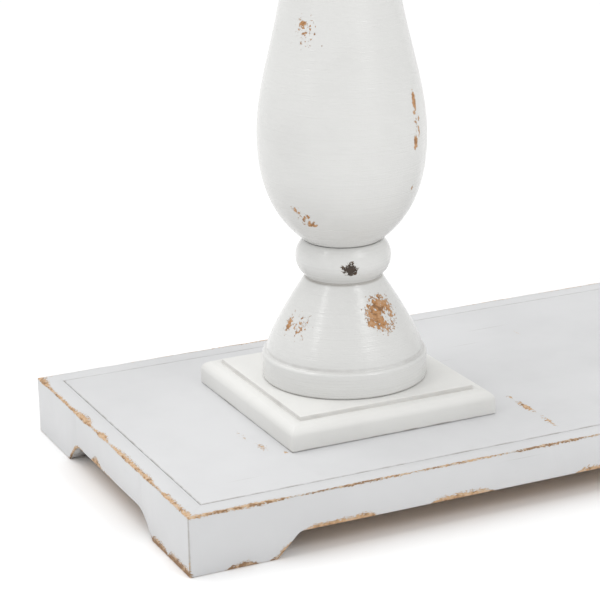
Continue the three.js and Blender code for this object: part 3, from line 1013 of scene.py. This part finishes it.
def cup_turning(node):
    """Bead, cup, rim and dish, with the spike's hole and a recess for its collar."""
    turning = settings().turning
    bores = settings().hardware
    size = box_size(node)
    rim = size.x / 2
    rim_bottom = turning.cup_bead + turning.cup_height
    floor = size.z - turning.dish_depth
    seat = floor - bores.collar - GLUE_LINE
    collar = box_size("candle_spike_left").x / 2 + bores.clearance
    inner = rim - turning.rim_wall
    outline = Outline(0, bores.dowel_depth)
    outline.line(bores.dowel_bore, bores.dowel_depth)
    outline.line(bores.dowel_bore, 0)
    outline.line(turning.collar, 0)
    outline.bead(turning.cup_bead_radius, turning.cup_bead, 24)
    outline.line(turning.cup_stem, turning.cup_bead)
    outline.curve(
        (turning.cup_stem, turning.cup_bead + turning.cup_height / 2),
        (turning.cup_radius, turning.cup_bead + turning.cup_height / 2),
        (turning.cup_radius, rim_bottom),
        40,
    )
    outline.line(rim, rim_bottom)
    outline.line(rim, size.z - turning.disc_round)
    outline.curve(
        (rim, size.z - (1 - EASED_CORNER) * turning.disc_round),
        (rim - EASED_CORNER * turning.disc_round, size.z),
        (rim - turning.disc_round, size.z),
        FEW_STEPS,
    )
    outline.line(inner, size.z)
    outline.line(inner - turning.dish_depth / 2, floor)
    outline.line(collar, floor)
    outline.line(collar, seat)
    outline.line(bores.spike_bore, seat)
    outline.line(bores.spike_bore, seat - bores.spike_depth)
    outline.line(0, seat - bores.spike_depth)
    outline.ease(turning.edge)
    return outline


def spike(node):
    """A shank in the cup, a collar let in flush with the dish and a slim point."""
    bores = settings().hardware
    size = box_size(node)
    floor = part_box("cup_turning_left")[1].z - settings().turning.dish_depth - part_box(node)[0].z
    shank = bores.spike_shank
    outline = Outline(0, 0)
    outline.line(shank, 0)
    outline.line(shank, floor - bores.collar)
    outline.line(size.x / 2, floor - bores.collar)
    outline.line(size.x / 2, floor)
    outline.line(shank, floor)
    outline.curve(
        (shank, floor + 0.5 * (size.z - floor)),
        (0.5 * shank, size.z - SPIKE_POINT),
        (0, size.z),
        16,
    )
    outline.ease(SPIKE_EASE)
    return outline


def base_bolt(node):
    """A hexagon head with a chamfered underside and a plain shank."""
    bores = settings().hardware
    size = box_size(node)
    low = foot_of(node)
    shape = bmesh.new()
    head_radius = max(size.x, size.y) / 2
    bmesh.ops.create_cone(
        shape, cap_ends=True, segments=6, radius1=head_radius, radius2=head_radius,
        depth=bores.bolt_head, matrix=Matrix.Rotation(math.pi / 6, 4, "Z"),
    )
    bmesh.ops.translate(shape, verts=shape.verts, vec=low + Vector((0, 0, bores.bolt_head / 2)))
    bevel_sharp(shape, HEAD_CHAMFER)
    shank = Outline(0, bores.bolt_head - HEAD_OVERLAP)
    shank.line(bores.bolt_shank, bores.bolt_head - HEAD_OVERLAP)
    shank.line(bores.bolt_shank, size.z - BOLT_POINT)
    shank.line(0, size.z)
    shank.spin(shape, low, 32)
    return shape


def base_washer(node):
    """A flat ring round the bolt."""
    size = box_size(node)
    bore = settings().hardware.bolt_bore
    outline = Outline(bore, 0)
    outline.line(size.x / 2, 0)
    outline.line(size.x / 2, size.z)
    outline.line(bore, size.z)
    outline.line(bore, 0)
    outline.ease(WASHER_EASE)
    return outline


def add_turned(name, node, make, material, steps):
    """Spins the outline that make gives for a node, and places it."""
    shape = bmesh.new()
    make(node).spin(shape, foot_of(node), steps)
    place_piece(name, shape, [node], material)


# ---- Operators ----


class BuildAprons(bpy.types.Operator):
    """Model the four boards round the platform"""

    bl_idname = "candle_holder.aprons"
    bl_label = "Aprons"

    def execute(self, context):
        sizes = settings().platform
        boards = (
            ("front", 0, "x", sizes.foot_long, sizes.fillet_long, FRONT_EDGE_WEAR),
            ("back", math.pi, "x", sizes.foot_long, sizes.fillet_long, BACK_EDGE_WEAR),
            ("left", -math.pi / 2, "y", sizes.foot_end, sizes.fillet_end, LEFT_EDGE_WEAR),
            ("right", math.pi / 2, "y", sizes.foot_end, sizes.fillet_end, RIGHT_EDGE_WEAR),
        )
        for side, turn, axis, foot, fillet, heavy in boards:
            node = f"apron_{side}"
            size = box_size(node)
            half = max(size.x, size.y) / 2 + MITRE_CLOSING
            thickness = min(size.x, size.y)
            spin = Matrix.Rotation(turn, 3, "Z")
            shape = apron_board(half, thickness, size.z, foot, fillet)
            facing = spin[0][0] if axis == "x" else spin[1][0]
            wear_edges(shape, size.z, [(facing * middle * MM, reach * MM) for middle, reach in heavy])
            bmesh.ops.rotate(shape, verts=shape.verts, cent=(0, 0, 0), matrix=spin)
            inner = spin @ Vector((0, thickness / 2, 0))
            bmesh.ops.translate(shape, verts=shape.verts, vec=foot_of(node) - inner)
            material = finish_for(f"platform_paint_{axis}", platform_paint, "xyz".index(axis))
            place_piece(f"board_{side}", shape, [node], material)
        return {"FINISHED"}


class BuildPanel(bpy.types.Operator):
    """Model the top panel that is let in between the aprons"""

    bl_idname = "candle_holder.panel"
    bl_label = "Top panel"

    def execute(self, context):
        low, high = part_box("top_panel")
        swell = Vector((PANEL_SWELL, PANEL_SWELL, 0))
        shape = block(low - swell, high + swell, settings().platform.edge * 0.7)
        material = finish_for("platform_paint_x", platform_paint, 0)
        place_piece("panel", shape, ["top_panel"], material)
        return {"FINISHED"}


class BuildBracing(bpy.types.Operator):
    """Model the glue blocks and ledgers under the platform and finish the dowels"""

    bl_idname = "candle_holder.bracing"
    bl_label = "Bracing"

    def execute(self, context):
        nodes = {"rail_front": "ledger_front", "rail_back": "ledger_back"}
        for side in ("front", "back"):
            for end in ("left", "right"):
                nodes[f"glue_block_{side}_{end}"] = f"corner_block_{side}_{end}"
        for name, node in nodes.items():
            along = 0 if name.startswith("rail") else 2
            material = finish_for(f"bare_wood_{'xyz'[along]}", bare_wood, along)
            shape = block(*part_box(node), BRACING_EASE)
            place_piece(name, shape, [node], material)
        material = finish_for("bare_wood_z", bare_wood, 2)
        for column in COLUMNS:
            for joint in ("vase", "cup"):
                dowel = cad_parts[f"{joint}_dowel_{column}"]
                dowel.data.materials.clear()
                dowel.data.materials.append(material)
        return {"FINISHED"}


class BuildPlinths(bpy.types.Operator):
    """Model the square moulding under each column"""

    bl_idname = "candle_holder.plinths"
    bl_label = "Plinths"

    def execute(self, context):
        material = finish_for("plinth_paint", plinth_paint)
        for column in COLUMNS:
            node = f"plinth_{column}"
            place_piece(f"moulding_{column}", plinth_moulding(node), [node], material)
        return {"FINISHED"}


class BuildColumns(bpy.types.Operator):
    """Turn the foot, vase and cup of each column"""

    bl_idname = "candle_holder.columns"
    bl_label = "Columns"

    def execute(self, context):
        steps = settings().turning.steps
        makers = {"foot": foot_turning, "vase": vase_turning, "cup": cup_turning}
        for column in COLUMNS:
            centre_x = box_centre(f"vase_turning_{column}").x
            turn = COLUMN_TURNS[column]
            material = finish_for(f"column_paint_{column}", column_paint, centre_x, turn)
            for kind, make in makers.items():
                node = f"{kind}_turning_{column}"
                add_turned(f"{kind}_{column}", node, make, material, steps)
        return {"FINISHED"}


class BuildHardware(bpy.types.Operator):
    """Model the candle spikes, base bolts and washers"""

    bl_idname = "candle_holder.hardware"
    bl_label = "Hardware"

    def execute(self, context):
        material = finish_for("plated_steel", plated_steel)
        for column in COLUMNS:
            node = f"candle_spike_{column}"
            add_turned(f"spike_{column}", node, spike, material, 48)
            node = f"base_washer_{column}"
            add_turned(f"washer_{column}", node, base_washer, material, 64)
            node = f"base_bolt_{column}"
            place_piece(f"bolt_{column}", base_bolt(node), [node], material)
        return {"FINISHED"}


class BuildStage(bpy.types.Operator):
    """Lay a pale floor, light it softly and set the camera"""

    bl_idname = "candle_holder.stage"
    bl_label = "Stage"

    def execute(self, context):
        stage = settings().stage
        scene = context.scene
        scene.view_settings.view_transform = "Standard"
        self.lay_floor(stage)
        self.light(scene, stage)
        self.aim_camera(scene, stage)
        return {"FINISHED"}

    def lay_floor(self, stage):
        shape = bmesh.new()
        bmesh.ops.create_grid(shape, x_segments=1, y_segments=1, size=FLOOR_REACH)
        mesh = bpy.data.meshes.new("floor")
        shape.to_mesh(mesh)
        shape.free()
        finish = Finish("floor_paint")
        mesh.materials.append(finish.surface(colour=stage.floor, roughness=0.9))
        floor = bpy.data.objects.new("floor", mesh)
        bpy.context.collection.objects.link(floor)

    def light(self, scene, stage):
        world = bpy.data.worlds.new("surround")
        world.use_nodes = True
        background = world.node_tree.nodes["Background"]
        background.inputs["Color"].default_value = (1, 1, 1, 1)
        background.inputs["Strength"].default_value = stage.ambient
        scene.world = world
        key = bpy.data.lights.new("key", "SUN")
        key.energy = stage.key
        key.angle = math.radians(50)
        self.hang(key, -145, 66)
        # Name, width and height in metres, watts, bearing and height in degrees.
        boxes = (
            ("strip_left", 0.2, 0.6, 0.7 * stage.strip, -82, 44),
            ("strip_right", 0.22, 0.6, 1.1 * stage.strip, 22, 44),
            ("fill", 1.2, 0.8, stage.fill, 10, 12),
        )
        for name, width, height, watts, bearing, rise in boxes:
            softbox = bpy.data.lights.new(name, "AREA")
            softbox.shape = "RECTANGLE"
            softbox.size = width
            softbox.size_y = height
            softbox.energy = watts
            self.hang(softbox, bearing, rise)

    def hang(self, light, bearing, height):
        """Places a light round the left column, at a bearing from the front and a height in degrees."""
        across = math.radians(bearing)
        up = math.radians(height)
        direction = Vector((
            math.sin(across) * math.cos(up),
            -math.cos(across) * math.cos(up),
            math.sin(up),
        ))
        lamp = bpy.data.objects.new(light.name, light)
        lamp.location = Vector((LEFT_X, 0, LAMP_AIM_HEIGHT)) + direction * LAMP_DISTANCE
        lamp.rotation_euler = direction.to_track_quat("Z", "Y").to_euler()
        bpy.context.collection.objects.link(lamp)

    def aim_camera(self, scene, stage):
        data = bpy.data.cameras.new("camera")
        data.lens = stage.lens
        data.sensor_width = SENSOR_WIDTH
        data.clip_start = NEAREST
        data.clip_end = FURTHEST
        camera = bpy.data.objects.new("camera", data)
        away = Vector((
            math.sin(stage.azimuth) * math.cos(stage.elevation),
            -math.cos(stage.azimuth) * math.cos(stage.elevation),
            math.sin(stage.elevation),
        ))
        camera.rotation_mode = "QUATERNION"
        camera.location = Vector((LEFT_X + stage.aim_x, 0, stage.aim_z)) + away * stage.distance
        level = (-away).to_track_quat("-Z", "Y")
        camera.rotation_quaternion = Matrix.Rotation(stage.roll, 3, away).to_quaternion() @ level
        bpy.context.collection.objects.link(camera)
        scene.camera = camera


# ---- Panel and registration ----


OPERATORS = (
    BuildStage, BuildAprons, BuildPanel, BuildBracing, BuildPlinths, BuildColumns, BuildHardware,
)


class CandleHolderPanel(bpy.types.Panel):
    """Lists the candle holder's pieces and sizes"""

    bl_idname = "VIEW3D_PT_candle_holder"
    bl_label = "Candle Holder"
    bl_space_type = "VIEW_3D"
    bl_region_type = "UI"
    bl_category = "Candle Holder"

    def draw(self, context):
        for operator in OPERATORS:
            self.layout.operator(operator.bl_idname)
        holder = context.scene.candle_holder
        for group in ("paint", "platform", "plinth", "turning", "hardware", "stage"):
            section = self.layout.box()
            section.label(text=group.capitalize())
            values = getattr(holder, group)
            for name in values.__annotations__:
                section.prop(values, name)


CLASSES = (
    PaintSettings, PlatformSettings, PlinthSettings, TurningSettings, HardwareSettings,
    StageSettings, CandleHolderSettings, *OPERATORS, CandleHolderPanel,
)


def register():
    for cls in CLASSES:
        bpy.utils.register_class(cls)
    bpy.types.Scene.candle_holder = bpy.props.PointerProperty(type=CandleHolderSettings)


def unregister():
    del bpy.types.Scene.candle_holder
    for cls in reversed(CLASSES):
        bpy.utils.unregister_class(cls)


def main():
    register()
    for operator in OPERATORS:
        group, name = operator.bl_idname.split(".")
        getattr(getattr(bpy.ops, group), name)()


if __name__ == "__main__":
    main()
